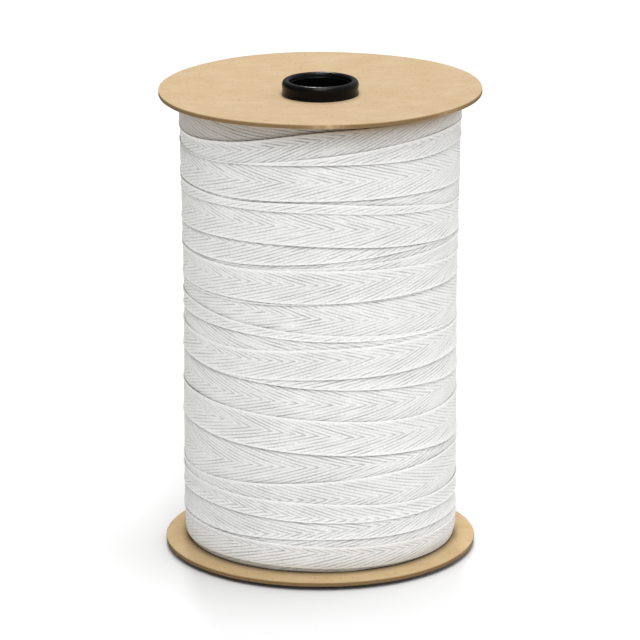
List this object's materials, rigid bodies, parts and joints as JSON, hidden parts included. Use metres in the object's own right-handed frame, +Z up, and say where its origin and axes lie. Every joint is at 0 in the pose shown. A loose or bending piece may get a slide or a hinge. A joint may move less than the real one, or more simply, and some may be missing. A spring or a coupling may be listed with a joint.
{
  "type": "roll of twill tape",
  "caption": "Roll of white herringbone twill tape wound on a black plastic tube between two round brown board flanges, standing upright.",
  "frame": {"origin": "on the tube's axis, on the surface that the reel stands on, in the plane of the lower collar's flat crest", "axes": "+Z up along the tube's axis, -Y towards the front as pictured, +X to the right"},
  "size_m": [0.16, 0.16, 0.24],
  "materials": {
    "bleached_cotton": "woven herringbone twill",
    "kraft_board": "matt solid paperboard, cut edge darker",
    "black_plastic": "moulded, satin"
  },
  "bodies": {
    "root": {"tape_winding": "bleached_cotton", "upper_flange": "kraft_board", "lower_flange": "kraft_board", "core_tube": "black_plastic"}
  },
  "joints": []
}
